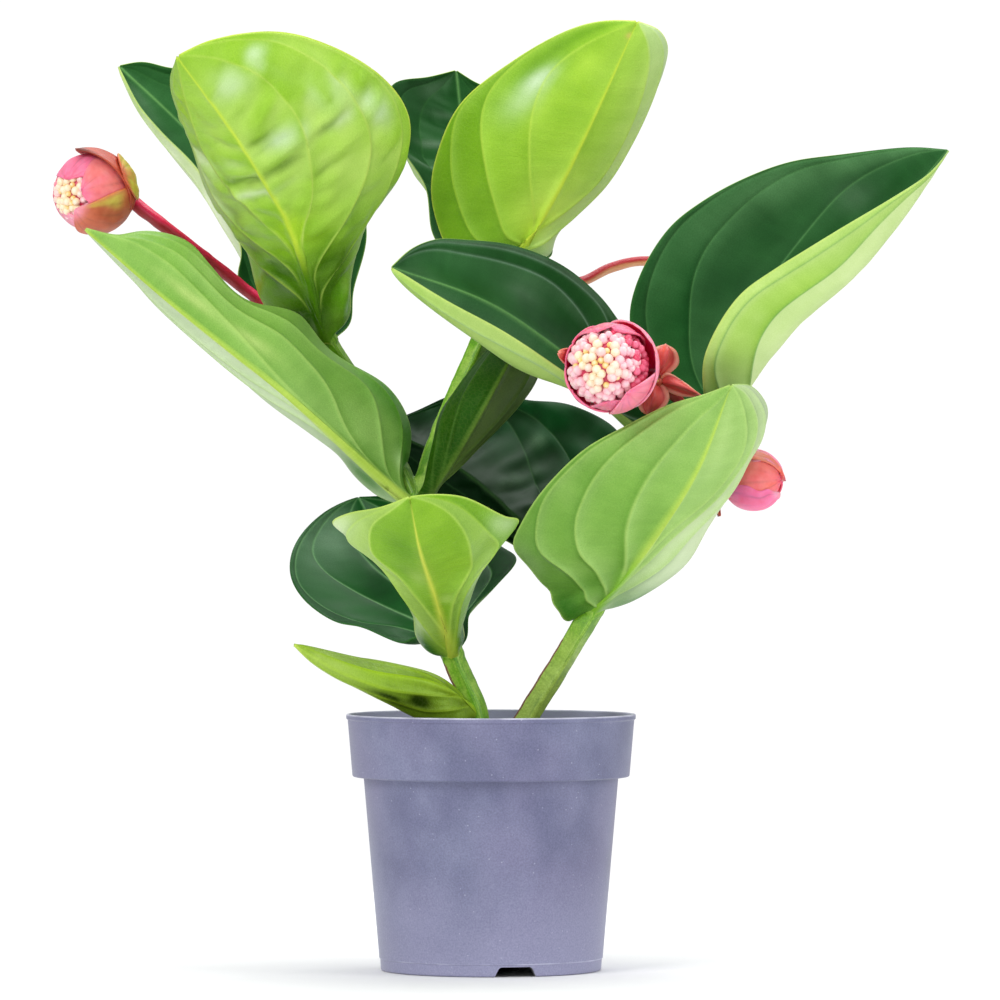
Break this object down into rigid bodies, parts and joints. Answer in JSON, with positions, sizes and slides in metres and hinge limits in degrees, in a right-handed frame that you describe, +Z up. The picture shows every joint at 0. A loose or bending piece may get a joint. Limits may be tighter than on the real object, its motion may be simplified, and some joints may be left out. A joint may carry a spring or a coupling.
{
  "type": "potted medinilla",
  "caption": "Flowering medinilla house plant with broad glossy leaves and pink flower heads in bud, growing in a plain lavender-grey nursery pot.",
  "frame": {"origin": "middle of the pot's underside, on the surface that it stands on", "axes": "+Z up; -Y towards the viewer of the side with the open centre flower head; +X to that viewer's right"},
  "size_m": [0.3711, 0.1931, 0.3916],
  "materials": {
    "pot_plastic": "satin lavender-grey polypropylene with a fine mottle",
    "soil": "loose dark peat with bark crumbs",
    "stem": "green four-edged stem with brown corky edges",
    "leaf_young": "glossy fresh green, lighter veins",
    "leaf_pale": "satin pale green underside, raised veins",
    "leaf_dark": "glossy dark green upper side, satin olive underside",
    "flower_stalk": "smooth crimson, salmon below",
    "bract": "satin pink and salmon with darker veins",
    "bud": "waxy cream to pale pink"
  },
  "bodies": {
    "root": {"pot": "pot_plastic", "soil": "soil", "stem_left": "stem", "stem_right": "stem", "leaf_top_left": "leaf_young", "leaf_top_left_back": "leaf_dark", "leaf_top_middle_back": "leaf_dark", "leaf_top_middle": "leaf_young", "leaf_centre": "leaf_dark", "leaf_right": "leaf_dark", "leaf_middle_back": "leaf_dark", "leaf_right_front": "leaf_pale", "leaf_centre_upright": "leaf_dark", "leaf_left": "leaf_pale", "leaf_front": "leaf_young", "leaf_low_back": "leaf_dark", "leaf_lowest": "leaf_young", "stalk_left": "flower_stalk", "stalk_centre": "flower_stalk", "stalk_right": "flower_stalk", "bracts_left": "bract", "bracts_centre": "bract", "bracts_right": "bract", "whorl_centre": "bract", "buds_left": "bud", "buds_centre": "bud"}
  },
  "joints": []
}
